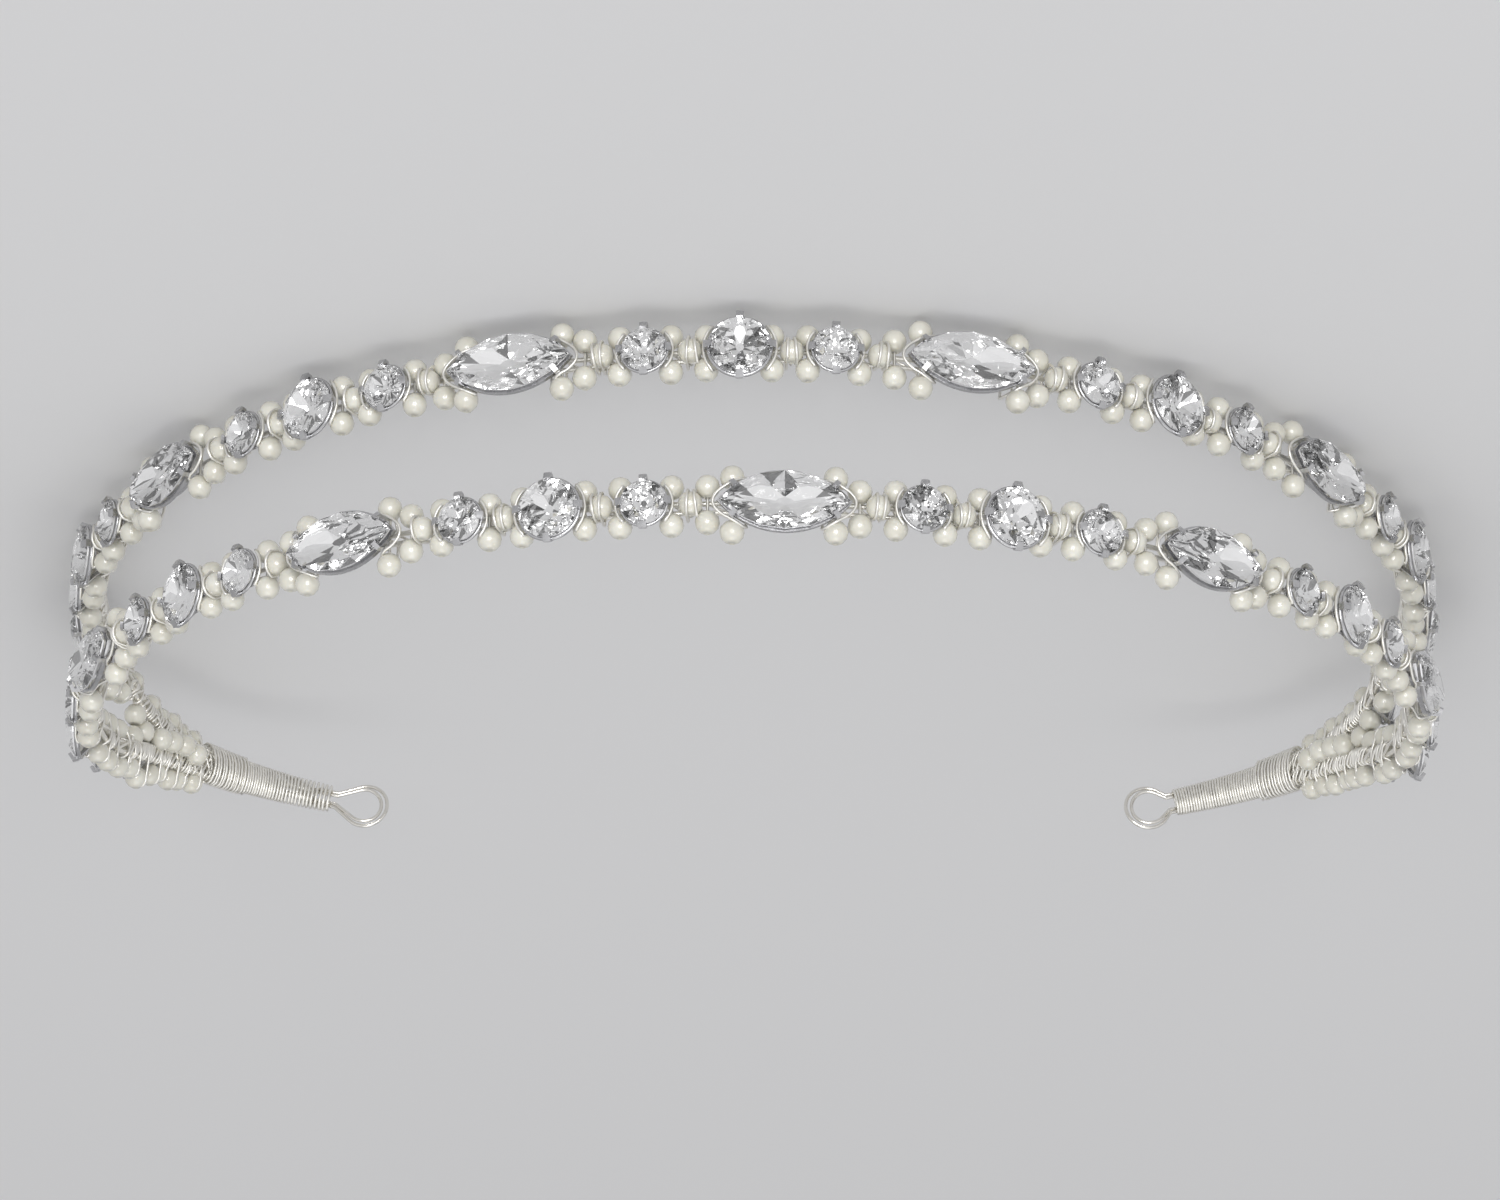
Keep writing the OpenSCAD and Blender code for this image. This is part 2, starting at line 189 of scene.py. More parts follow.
# Crystals. Machine-cut lead crystal, clear, with a mirror foil on its back and its girdle. A
# bronze lacquer covers the foil's middle, and shows from behind through the open basket.
# Length of a repeat, place of a marquise in each row, and of the small stones beside it
REPEAT = 52.2
PHASE = {"front": -3.4, "rear": 1.6 + REPEAT / 2}
SMALL_OFFSET = 15.5
# Distance from a row's middle within which the pattern has its stones, and one stone past it
LARGE_TO = 136
SMALL_TO = 146
LAST_STONE = 148.5
# Height of the girdles and the culets above the base wires
LARGE_HEIGHT = 3.1
SMALL_HEIGHT = 2.9
CULET_Z = 1.5
# Half length and half width, crown height, and the table's share of both
MARQUISE_CUT = (7.5, 3.5, 1.2, (0.72, 0.52))
LARGE_CUT = (3.55, 3.55, 1.1, (0.56, 0.56))
SMALL_CUT = (2.65, 2.65, 0.85, (0.56, 0.56))
# Half the girdle's thickness, and the outline's share at the rings midway up the crown and the
# back, and at the culet
EDGE = 0.1
CROWN_SHARE = 0.8
BACK_SHARE = 0.5
CULET_SHARE = 0.14
# First corner of each ring after the table's, and half the degrees from one of 8 to the next
STAR, GIRDLE_TOP, GIRDLE_FOOT, BACK, CULET = 8, 16, 32, 48, 56
HALF_STEP = 22.5
BRONZE = (0.3, 0.17, 0.07)
SILVER = (0.75, 0.75, 0.76)
# Foil seen through the crystal: share of facets painted dark as a painted dark reflection, and their
# grey, the light ones' least grey and how much it varies, and the two factors of each facet's draw
PAINTED_DARK_FACETS = 0.12
PAINTED_DARK_GREY = 0.3
LIGHT_GREY = 0.93
GREY_RANGE = 0.05
DRAW_RATE = 12.9898
DRAW_SIZE = 43758.5453


def outline(a, b, angles):
    """Points round a stone: a circle of radius a, or where a exceeds b two arcs through the
    points (a, 0) and (0, b), at a cosine's distance along the stone."""
    angles = np.radians(angles)
    if a == b:
        return a * np.stack([np.cos(angles), np.sin(angles)], 1)
    x = a * np.cos(angles)
    r = (a * a + b * b) / (2 * b)
    side = np.sign(np.round(np.sin(angles), 9))
    return np.stack([x, side * (np.sqrt(r * r - x * x) - r + b)], 1)


def brilliant(a, b, crown, table, pavilion):
    """Corners and facets of a brilliant cut: rings of 8, 8, 16, 16, 8 and 8 corners from the
    table down to the culet, each a scaled outline. Facets are pairs of corners and kind."""

    def ring(count, first, along_share, across_share, z):
        """Corners at even angles from the first, on the outline scaled by the two shares."""
        flat = outline(a, b, first + np.arange(count) * 360 / count) * (along_share, across_share)
        return np.column_stack([flat, np.full(count, z)])

    def fallen(share, inner):
        """How far a corner between two main facets lies below the inner ring, in parts of the
        height to the girdle: its distance along their middles beyond that ring, over all."""
        return (share * np.cos(np.radians(HALF_STEP)) - inner) / (1 - inner)

    star_z = crown - (crown - EDGE) * fallen(CROWN_SHARE, table[1])
    back_z = -pavilion + (pavilion - EDGE) * fallen(BACK_SHARE, CULET_SHARE)
    corners = np.concatenate([
        ring(8, 0, table[0], table[1], crown),
        ring(8, HALF_STEP, (1 + table[0]) / 2, CROWN_SHARE, star_z),
        ring(16, 0, 1, 1, EDGE),
        ring(16, 0, 1, 1, -EDGE),
        ring(8, HALF_STEP, BACK_SHARE, BACK_SHARE, back_z),
        ring(8, 0, CULET_SHARE, CULET_SHARE, -pavilion)])
    facets = [(list(range(8)), "clear"), (list(range(CULET + 7, CULET - 1, -1)), "lacquered")]
    for i in range(8):
        after, before = (i + 1) % 8, (i + 7) % 8
        star, back, tip = STAR + i, BACK + i, CULET + i
        # Three girdle corners, on its top edge and on its foot
        g, g1, g2 = GIRDLE_TOP + 2 * i, GIRDLE_TOP + 2 * i + 1, GIRDLE_TOP + 2 * after
        f, f1, f2 = GIRDLE_FOOT + 2 * i, GIRDLE_FOOT + 2 * i + 1, GIRDLE_FOOT + 2 * after
        facets += [([after, i, star], "clear"), ([i, STAR + before, g], "clear"),
                   ([i, g, star], "clear"), ([star, g, g1], "clear"), ([star, g1, g2], "clear"),
                   ([f, back, f1], "foiled"), ([f1, back, f2], "foiled"),
                   ([f, BACK + before, tip], "foiled"), ([f, tip, back], "foiled"),
                   ([back, tip, CULET + after], "lacquered"),
                   ([f, f1, g1, g], "foiled"), ([f1, f2, g2, g1], "foiled")]
    return corners, facets


def placed(frames, points):
    """Each row of points carried by its own frame: rotation times point, plus the shift."""
    return np.einsum("nij,nkj->nki", frames[:, :3, :3], points) + frames[:, None, :3, 3]


def mesh(name, points, faces, materials):
    """A mesh piece from points in millimetres, made metres here. Its place is in its mesh."""
    data = bpy.data.meshes.new(name)
    data.from_pydata((np.asarray(points) * MM).tolist(), [], faces)
    for material in materials:
        data.materials.append(material)
    piece = bpy.data.objects.new(name, data)
    bpy.context.scene.collection.objects.link(piece)
    return piece


crystal, tree, shader = group("clear_crystal", "cut face")
shader.inputs["Base Color"].default_value = (1, 1, 1, 1)
shader.inputs["Transmission Weight"].default_value = 1
shader.inputs["Roughness"].default_value = 0
shader.inputs["IOR"].default_value = 1.56

foil, tree, lacquer = group("foiled_back", "bronze lacquer")
back = node(tree, "ShaderNodeAttribute", attribute_name="back")
tree.links.new(back.outputs["Color"], lacquer.inputs["Base Color"])
lacquer.inputs["Metallic"].default_value = 0.7
lacquer.inputs["Roughness"].default_value = 0.35
# Mirror foil colour per facet: a light grey, and in about one facet of eight a painted dark reflection
foil_grey_and_painted_reflection = node(tree, "ShaderNodeAttribute", attribute_name="foil_grey_and_painted_reflection")
mirror = node(tree, "ShaderNodeBsdfPrincipled", {
    "Base Color": foil_grey_and_painted_reflection.outputs["Color"], "Metallic": 1, "Roughness": 0.03})
inside = node(tree, "ShaderNodeNewGeometry")
mix = node(tree, "ShaderNodeMixShader", {
    0: inside.outputs["Backfacing"], 1: lacquer.outputs[0], 2: mirror.outputs[0]})
tree.links.new(mix.outputs[0], tree.nodes["Material Output"].inputs["Surface"])


def cut_stones(name, frames, height, cut):
    """One piece of stones, one at each frame, with their girdles at a height. The foil seen
    from inside is painted dark in about one facet of eight, a painted dark reflection; the rest
    keep a light grey. The draw for each facet is the fraction of a large multiple of its number's
    sine, and the numbers start from the first stone's x."""
    corners, facets = brilliant(*cut, height - CULET_Z)
    corners = placed(frames, np.tile(corners + (0, 0, height), (len(frames), 1, 1)))
    count = corners.shape[1]
    faces = [[n * count + c for c in facet] for n in range(len(frames)) for facet, kind in facets]
    piece = mesh(name, corners.reshape(-1, 3), faces, [crystal, foil])
    kinds = np.array([kind for facet, kind in facets] * len(frames))
    piece.data.polygons.foreach_set("material_index", (kinds != "clear").astype(np.int32))
    number = np.arange(len(faces)) + frames[0, 0, 3]
    draw = np.sin(number * DRAW_RATE) * DRAW_SIZE % 1
    # Facets whose draw falls below the share get a painted dark reflection in the foil's colour
    grey = np.where(draw < PAINTED_DARK_FACETS, PAINTED_DARK_GREY, LIGHT_GREY + GREY_RANGE * draw)
    foil_greys_and_painted_reflections = np.tile(grey[:, None], (1, 3))
    backs = np.where((kinds == "lacquered")[:, None], BRONZE, SILVER)
    for layer_name, colours in (("foil_grey_and_painted_reflection", foil_greys_and_painted_reflections), ("back", backs)):
        layer = piece.data.attributes.new(layer_name, "FLOAT_COLOR", "FACE")
        layer.data.foreach_set("color", np.column_stack([colours, np.ones(len(colours))]).ravel())
    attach(piece, "root")
    return piece


def every(band, steps, reach, offset=0.0):
    """Places of a motif along a row, one a repeat, as far as reach on each side."""
    s = PHASE[band] + (steps + offset) * REPEAT
    return s[np.abs(s) < reach]


marquises, rounds, smalls = {}, {}, {}
for band in BANDS:
    steps = np.arange(-3, 3)
    marquises[band] = every(band, steps, LARGE_TO)
    rounds[band] = every(band, steps, LARGE_TO, 0.5)
    beside = np.arange(-3, 4)[:, None] + np.array([-1, 1]) * SMALL_OFFSET / REPEAT
    smalls[band] = every(band, beside.ravel(), SMALL_TO)
smalls["front"] = np.append(smalls["front"], LAST_STONE)

for band, sign in BANDS.items():
    for kind, places, cut in (("marquise", marquises, MARQUISE_CUT), ("round", rounds, LARGE_CUT)):
        for i, s in enumerate(places[band], 1):
            stone = cut_stones(f"{band}_{kind}_crystal_{i}", station(sign, s), LARGE_HEIGHT, cut)
            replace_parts(stone, f"{band}_{kind}_{i}")
small_frames = np.concatenate([station(sign, smalls[band]) for band, sign in BANDS.items()])
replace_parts(cut_stones("small_crystals", small_frames, SMALL_HEIGHT, SMALL_CUT), "small_stones")


# Pearls. Imitation pearls of ivory glass with a soft lustre, drilled across the row. Each is
# threaded on the binding wire, singly over the base wires or as a pair beside them.
PEARL_R = 1.45
BORE_R = 0.3
# The bore is closed a little way in, by a plug of this radius at this distance from the centre
PLUG_R = BORE_R * 0.8
PLUG_Y = 1.2
BEAD_SIDES = 14
BEAD_CIRCLES = 7
# Places of pearls across the row and above the base wires
PAIR = (2.15, 1.0)
OUTER = (3.35, 1.2)
MID = (0, 1.75)
# Crossings of the binding wire from a marquise to the next large round stone
CROSSINGS = [(5.75, OUTER), (8.5, PAIR), (10.5, MID), (12.5, PAIR),
             (SMALL_OFFSET + 2.9, PAIR), (SMALL_OFFSET + 4.9, MID), (SMALL_OFFSET + 6.9, PAIR)]
# Distance from a row's middle to which they go, and the pearls on the other row's side
CROSSINGS_TO = 149
INNER_TO = 143
# Last pearls before the wrap, on the side away from the other row: distance, across, height
LAST_PEARLS = [(150.9, 2.4, 1.1), (153.2, 2.0, 1.3), (155.5, 2.3, 1.0), (157.8, 1.9, 1.2),
               (160.1, 1.8, 0.9)]
# Pearls gathered between the rows before the wrap: distance, places across and outward
GATHERED = np.array([(145.4, 1.47, 0.9), (145.6, -1.47, 0.7), (147.9, 0.1, 0.5), (150.2, 0.5, -0.9),
                     (150.8, -0.3, 1.5), (152.9, 0, -1.0), (153.4, 0.2, 1.6), (155.3, -0.2, -1.4),
                     (156.0, 0.1, 1.7), (157.8, 0.3, -1.5), (158.6, 0, 1.8)])
# Ends by their side of the picture: the left one is at +X
ENDS = {"left": 1, "right": -1}
# Shift of each row's unevenness across
SWAY = {"front": 1, "rear": 2}


def uneven(s, size, rate, shift=0):
    """Unevenness of handwork: size times the sine of s times rate plus shift."""
    return size * np.sin(s * rate + shift)


def crossings(band):
    """Rows of s, place across, height, and whether the pearls toward the front and toward the
    rear are there, for every column of pearls along a row, in order of s, and each a little
    uneven. The pearls of a pair on the side of the other row end sooner than the rest."""
    rows = [(PHASE[band] + k * REPEAT + way * distance, *place)
            for k in range(-4, 4) for way in (-1, 1) for distance, place in CROSSINGS]
    rows = [row for row in rows if abs(row[0]) < CROSSINGS_TO]
    rows += [(way * s, y, z) for way in (-1, 1) for s, y, z in LAST_PEARLS]
    rows = np.array(sorted(rows))
    rows[:, 0] += uneven(rows[:, 0], 0.1, 7.7, BANDS[band])
    rows[:, 1] += uneven(rows[:, 0], 0.12, 4.3) * (rows[:, 1] > 0)
    rows[:, 2] += uneven(rows[:, 0], 0.15, 5.9, BANDS[band])
    outer_there = np.ones(len(rows))
    inner_there = (np.abs(rows[:, 0]) < INNER_TO) | (rows[:, 1] == 0)
    if band == "front":
        return np.column_stack([rows, outer_there, inner_there])
    return np.column_stack([rows, inner_there, outer_there])


def bead(around, circles):
    """A drilled bead round the y axis: circles at even angles from one bore's lip to the
    other's, with both bores closed a little way in."""
    lip = np.arcsin(BORE_R / PEARL_R)
    polar = np.linspace(lip, np.pi - lip, circles)
    r = np.concatenate([[PLUG_R], PEARL_R * np.sin(polar), [PLUG_R]])
    y = np.concatenate([[PLUG_Y], PEARL_R * np.cos(polar), [-PLUG_Y]])
    turn = np.arange(around) * 2 * np.pi / around
    across = np.repeat(y[:, None], around, 1)
    points = np.stack([np.outer(r, np.sin(turn)), across, np.outer(r, np.cos(turn))], -1)
    i, j = np.meshgrid(np.arange(len(r) - 1), np.arange(around), indexing="ij")
    k = (j + 1) % around
    quads = np.stack([i * around + j, (i + 1) * around + j, (i + 1) * around + k, i * around + k], -1)
    last = (len(r) - 1) * around
    plugs = [list(range(around)), list(range(last + around - 1, last - 1, -1))]
    return points.reshape(-1, 3), quads.reshape(-1, 4), plugs


def between(s):
    """Frames midway between the rows: the shift is the mean of the two rows' own, y points from
    the rear row to the front one, x along both and square to y, z away from the head."""
    front, rear = station(1, s), station(-1, s)
    m = front.copy()
    m[:, :3, 3] = (front[:, :3, 3] + rear[:, :3, 3]) / 2
    y = front[:, :3, 3] - rear[:, :3, 3]
    y /= np.linalg.norm(y, axis=1)[:, None]
    x = front[:, :3, 0] - (front[:, :3, 0] * y).sum(1)[:, None] * y
    x /= np.linalg.norm(x, axis=1)[:, None]
    m[:, :3, 0], m[:, :3, 1], m[:, :3, 2] = x, y, np.cross(x, y)
    return m


ivory, tree, shader = group("ivory_pearl", "lustre")
clouded(tree, shader, 500, 2, [(0.3, (0.65, 0.63, 0.545)), (0.7, (0.75, 0.738, 0.66))])
shader.inputs["Roughness"].default_value = 0.35
shader.inputs["Specular IOR Level"].default_value = 1
shader.inputs["Subsurface Weight"].default_value = 0.15
shader.inputs["Subsurface Radius"].default_value = (0.001, 0.0008, 0.0005)
shader.inputs["Subsurface Scale"].default_value = 0.5
shader.inputs["Coat Weight"].default_value = 1
shader.inputs["Coat Roughness"].default_value = 0.06
shader.inputs["Coat IOR"].default_value = 1.6


def strung(name, frames, places):
    """One piece of beads, each at its place across and outward in its own frame."""
    points, quads, plugs = bead(BEAD_SIDES, BEAD_CIRCLES)
    local = points[None] + np.column_stack([np.zeros(len(places)), places])[:, None]
    shift = np.arange(len(places))[:, None, None] * len(points)
    faces = (quads[None] + shift).reshape(-1, 4).tolist()
    faces += [[c + n * len(points) for c in plug] for n in range(len(places)) for plug in plugs]
    string = mesh(name, placed(frames, local).reshape(-1, 3), faces, [ivory])
    string.data.shade_smooth()
    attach(string, "root")
    return string


for end, way in ENDS.items():
    strung(f"{end}_gathered_pearls", between(way * GATHERED[:, 0]), GATHERED[:, 1:])

pearls = {}
for band, sign in BANDS.items():
    rows = crossings(band)
    single, paired = rows[rows[:, 1] == 0], rows[rows[:, 1] > 0]
    at = np.concatenate([single[:, [0, 1, 2, 3]],
                         paired[:, [0, 1, 2, 3]],
                         paired[:, [0, 1, 2, 4]] * (1, -1, 1, 1)])
    at = at[at[:, 3] > 0][:, :3]
    at[:, 1] += uneven(at[:, 0], 0.08, 3.1, SWAY[band])
    at[:, 2] += uneven(at[:, 0], 0.07, 5.3)
    pearls[band] = at
    string = strung(f"{band}_pearl_string", station(sign, at[:, 0]), at[:, 1:])
    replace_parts(string, f"{band}_pearls", f"{band}_pearl_rows")


# Binding wire. Fine silver-plated wire, one strand a row, wound by hand round both base wires.
# It passes through each pearl, over the baskets' base rings, and round the crystals' ends.
BINDING_R = 0.175
BINDING_SIDES = 6
FRONT_POINTS = 11
# Turns round the bare base wires: side, height on them, and place below them
WIRES_SIDE = 1.05
WIRES_TOP = 0.5
UNDER_WIRES = (0.62, -0.51)
# Turns round a pearl: depth in its lacquer, degrees round it, and place below the base wires
SUNK = 0.12
ROUND_PEARL = [-42, -70, -100]
UNDER_PEARL = (0.7, -0.56)
IN_BORE = 0.4
# Draped turns: squared distance at which a pearl lies under one, height on bare base wires and
# its fall past their tops, and how often the turn is drawn tight
UNDER_TURN = 2.6
DRAPED_TOP = 0.52
FALL_FROM = 0.8
FALL = 0.1
TIGHTENED = 60
# Strands over a middle pearl: half width, distance from its bore, and the highest sine of its
# place with which there are two
STRAND_HALF = 1.6
STRAND_ASIDE = 0.45
TWO_STRANDS = 0.2
# Turns that hug a round stone: gap to it, and half width as a share of the turn's radius
HUG_GAP = 0.5
HUG_SHARE = 0.68
# Turns that hug a marquise's point: reach on its middle line, curve, and half width
POINT_REACH = 7.9
POINT_CURVE = 0.42
POINT_HALF = 2.95
# Turns with no pearls under them, up to the wrap: start, number, and half width
COILED_FROM = 144
COILED_TURNS = 24
COILED_HALF = 0.9
NO_PEARLS = np.array([[1000, 0, 0]])


def tail_down(y, z):
    """Last points of half a turn, from (y, z) to the side of the base wires, then under them:
    first a shoulder a little further in and lower, then a waist at less than half the height,
    three tenths of the way out from the wires' side to y."""
    shoulder = (0.15 + 0.82 * y, z - 0.35)
    waist = (WIRES_SIDE + 0.3 * (y - WIRES_SIDE), z * 0.45)
    return [shoulder, waist, (WIRES_SIDE, 0), UNDER_WIRES]


def tail_round(y, z):
    """Last points of half a turn out of the bore of a pearl at (y, z): round the pearl's outer
    side, then under the base wires."""
    angles = np.radians(ROUND_PEARL)
    reach = PEARL_R - SUNK
    return [(y + reach * np.cos(a), z + reach * np.sin(a)) for a in angles] + [UNDER_PEARL]


def threaded_turn(row):
    """Turn through one column of pearls: straight through their bores, then round their outer
    sides; on a side with no pearl it goes round the base wires."""
    s, y, z, front_there, rear_there = row
    ends, tails = [], []
    for way, there in ((-1, rear_there), (1, front_there)):
        if there:
            ends.append((way * (y + PEARL_R - IN_BORE), z))
            tails.append([(way * a, b) for a, b in tail_round(y, z)])
        else:
            ends.append((way * WIRES_SIDE, WIRES_TOP))
            tails.append([(way * a, b) for a, b in tail_down(WIRES_SIDE, WIRES_TOP)])
    front = np.linspace(ends[0], ends[1], FRONT_POINTS)
    across = np.concatenate([tails[0][::-1], front, tails[1]])
    return np.column_stack([np.full(len(across), s), across])


def draped_turn(s, half, bulge, lean, at):
    """Turn that lies taut over whatever pearls are under it: across the row from -half to
    half, its place along the row given by bulge(y), its height the pearls' tops there, with
    no point lower than the middle of its neighbours."""
    y = np.linspace(-half, half, FRONT_POINTS)
    x = s + bulge(y) + lean * y
    gap = (x[:, None] - at[:, 0]) ** 2 + (y[:, None] - at[:, 1]) ** 2
    rise = np.sqrt(np.maximum((PEARL_R + BINDING_R) ** 2 - gap, 0))
    tops = np.where(gap < UNDER_TURN, at[:, 2] + rise, 0)
    z = np.maximum(tops.max(1), DRAPED_TOP - FALL * np.maximum(np.abs(y) - FALL_FROM, 0))
    for _ in range(TIGHTENED):
        z[1:-1] = np.maximum(z[1:-1], (z[:-2] + z[2:]) / 2)
    rear = [(-a, b) for a, b in tail_down(half, z[0])[::-1]]
    front = tail_down(half, z[-1])
    x = np.concatenate([np.full(len(rear), x[0]), x, np.full(len(front), x[-1])])
    return np.column_stack([x, np.concatenate([rear, np.column_stack([y, z]), front])])


def past_round(way, r):
    """Bulge of a turn that hugs a round stone of radius r, on its +x side or its -x side."""
    return lambda y: way * np.sqrt(r * r - y * y)


def past_point(way):
    """Bulge of a turn that hugs a marquise's point: a parabola across the row."""
    return lambda y: way * (POINT_REACH - POINT_CURVE * y * y)


def smooth(points):
    """Points with one more between each two: nine sixteenths of the near ones less one
    sixteenth of the far ones."""
    far = np.concatenate([points[:1], points, points[-1:]])
    middle = (9 * (far[1:-2] + far[2:-1]) - far[:-3] - far[3:]) / 16
    out = np.empty((len(points) * 2 - 1, 3))
    out[::2], out[1::2] = points, middle
    return out


def tube(points, refs, radius, sides):
    """Round wire along points, as corners and faces with closed ends: circles square to the
    path, turned so that each starts toward its own reference direction."""
    path = np.gradient(points, axis=0)
    path /= np.linalg.norm(path, axis=1)[:, None]
    u = refs - (refs * path).sum(1)[:, None] * path
    u /= np.linalg.norm(u, axis=1)[:, None]
    v = np.cross(path, u)
    angle = np.arange(sides)[:, None] * 2 * np.pi / sides
    rings = points[:, None] + radius * (u[:, None] * np.cos(angle) + v[:, None] * np.sin(angle))
    i, j = np.meshgrid(np.arange(len(points) - 1), np.arange(sides), indexing="ij")
    k = (j + 1) % sides
    quads = np.stack([i * sides + j, i * sides + k, (i + 1) * sides + k, (i + 1) * sides + j], -1)
    last = (len(points) - 1) * sides
    caps = [list(range(sides - 1, -1, -1)), list(range(last, last + sides))]
    return rings.reshape(-1, 3), quads.reshape(-1, 4).tolist() + caps


def wire_piece(name, shape, material, stands_for):
    """One piece of wire from its corners and faces, in place of the named node."""
    wire = mesh(name, *shape, [material])
    wire.data.shade_smooth()
    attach(wire, "root")
    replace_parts(wire, stands_for)


for band, sign in BANDS.items():
    rows, at = crossings(band), pearls[band]
    turns = [threaded_turn(row) for row in rows]
    for s, y in rows[:, :2]:
        if y == 0 and abs(s) < INNER_TO:
            beside = s + uneven(s, 0.35, 2.3)
            strands = (-1, 1) if uneven(s, 1, 3.3) < TWO_STRANDS else (1,)
            turns += [draped_turn(beside + way * STRAND_ASIDE, STRAND_HALF, np.zeros_like,
                                  uneven(s, 0.12, 1.7, way), at) for way in strands]
    for stones, cut in ((rounds, LARGE_CUT), (smalls, SMALL_CUT)):
        r = cut[0] + HUG_GAP
        turns += [draped_turn(s, HUG_SHARE * r, past_round(way, r), 0, at)
                  for s in stones[band] for way in (-1, 1)]
    turns += [draped_turn(s, POINT_HALF, past_point(way), 0, at)
              for s in marquises[band] for way in (-1, 1)]
    coiled = COILED_FROM + np.cumsum(0.75 + uneven(np.arange(COILED_TURNS), 0.35, 1))
    turns += [draped_turn(way * s, COILED_HALF, np.zeros_like, 0, NO_PEARLS)
              for way in (-1, 1) for s in coiled]
    turns.sort(key=lambda turn: turn[0, 0])
    path = np.concatenate(turns)
    frames = station(sign, np.clip(path[:, 0], -WRAP_FROM, WRAP_FROM))
    path = placed(frames, np.column_stack([np.zeros(len(path)), path[:, 1:]])[:, None])[:, 0]
    winding = tube(smooth(path), smooth(frames[:, :3, 0]), BINDING_R, BINDING_SIDES)
    wire_piece(f"{band}_winding", winding, silver_wire, f"{band}_binding_wire")


# Wraps. The ends of both rows are bound together with the same fine wire, in close turns that
# open toward the left loop, and a second layer over them near the beads. Loose turns lead up to
# them along the rows, and the two legs of the loop end inside.
WRAP_LENGTH = 17.5
# Half height and half thickness, at the beads and at the loop
TALL = (2.5, 1.85)
THICK = (1.35, 1.15)
# Legs inside the wrap: radius, distance from its middle, start, and how far before the wrap's
# end the loop's own strands take over
LEG_R = 0.42
LEG_ASIDE = 0.6
LEG_FROM = 2
LEG_IN_WRAP = 2.8
LEG_POINTS = 12
LEG_SIDES = 10
# Loose turns before the wrap: start, half thickness, pitch of each, and points a turn
LASH_FROM = -14
LASH_THICK = 0.62
LASH_PITCHES = [2.7, 2.4, 2, 1.7, 1.3, 1.1, 0.9, 0.8, 0.7, 0.6]
LASH_POINTS = 10
# Layers of the wrap: points a turn, start of each, and height of the second over the first
COIL_POINTS = 14
LAYER_FROM = 0.1
SECOND_LAYER_FROM = -1.5
SECOND_LAYER_HEIGHT = {"left": 0.3, "right": 0.5}


def end_station(way, u):
    """Frames at distances u along a wrap: x along it, y up and z away from the head, along the
    last arc from where the rows meet, and midway between the rows where u is negative. The end
    at -X mirrors the other."""
    u = np.asarray(u, float)
    row = half_row(1, WRAP_FROM + np.minimum(u, 0))
    level = np.tile(np.eye(4), (len(u), 1, 1))
    level[:, :2, 0] = row[:, :2, 0] / np.linalg.norm(row[:, :2, 0], axis=1)[:, None]
    level[:, :3, 1] = 0, 0, 1
    level[:, :3, 2] = np.cross(level[:, :3, 0], level[:, :3, 1])
    level[:, :2, 3] = row[:, :2, 3]
    m = level @ along(ARCS[-1], np.maximum(u, 0), 1)
    return LAY @ (MIRROR @ m @ MIRROR if way < 0 else m)


def pitches(count, least, growth, size, rate):
    """Pitches of a number of turns: from the least, growing evenly, with some unevenness."""
    return least + growth * np.linspace(0, 1, count) + uneven(np.arange(count), size, rate)


CLOSE_TURNS = pitches(24, 0.37, 0, 0.02, 2.1)
LOOP_SIDE_TURNS = {"left": pitches(17, 0.4, 0.2, 0.05, 1.7), "right": pitches(21, 0.37, 0, 0.015, 1.3)}
SECOND_LAYER_TURNS = pitches(12, 0.55, 0, 0.15, 2.7)


def advance(begin, turn_pitches, points):
    """The turn, in even steps of so many points each, and the place along the wrap: begin plus
    the running sum of the pitches."""
    turn = np.arange(len(turn_pitches) * points + 1) / points
    sums = np.concatenate([[0], np.cumsum(turn_pitches)])
    return turn, begin + np.interp(turn, np.arange(len(sums)), sums)


def elliptic(way, u, tall, thick, angle):
    """Binding wire round a wrap or the rows, on ellipses of a half height and half thickness."""
    frames = end_station(way, u)
    local = np.column_stack([np.zeros(len(u)), tall * np.cos(angle), thick * np.sin(angle)])
    return tube(placed(frames, local[:, None])[:, 0], frames[:, :3, 0], BINDING_R, BINDING_SIDES)


def coil(way, begin, turn_pitches, grow):
    """Wire wound on a wrap, its size the wrap's at each place, grown for a second layer, and
    widened with the rows where they are still apart."""
    turn, u = advance(begin, turn_pitches, COIL_POINTS)
    size = np.clip(u / WRAP_LENGTH, 0, 1)
    apart = half_row(1, WRAP_FROM + np.minimum(u, 0))[:, 2, 3]
    tall = TALL[0] + (TALL[1] - TALL[0]) * size + apart - apart.min() - BINDING_R + grow
    thick = THICK[0] + (THICK[1] - THICK[0]) * size - BINDING_R + grow
    return elliptic(way, u, tall, thick, 2 * np.pi * turn)


def lashing(way):
    """Loose turns round the base wires of both rows before the wrap: ellipses as tall as the
    rows are apart, which lean by an uneven cosine."""
    turn, u = advance(LASH_FROM, LASH_PITCHES, LASH_POINTS)
    angle = 2 * np.pi * turn
    lean = 0.9 + uneven(turn, 0.8, 3.7)
    u = np.minimum(u + lean * np.cos(angle + uneven(turn, 0.8, 1)), 0)
    tall = half_row(1, WRAP_FROM + u)[:, 2, 3] + WIRES_SIDE
    return elliptic(way, u, tall, LASH_THICK, angle)


def leg(way, y):
    """One leg of the loop, straight through the wrap from near its start."""
    frames = end_station(way, np.linspace(LEG_FROM, WRAP_LENGTH - LEG_IN_WRAP, LEG_POINTS))
    path = placed(frames, np.full((LEG_POINTS, 1, 3), (0, y, 0)))[:, 0]
    return tube(path, frames[:, :3, 2], LEG_R, LEG_SIDES)


def joined(parts):
    """Several (corners, faces) as one: each one's faces count on from the corners before."""
    corners, faces, count = [], [], 0
    for part, part_faces in parts:
        corners.append(part)
        faces += [[c + count for c in face] for face in part_faces]
        count += len(part)
    return np.concatenate(corners), faces


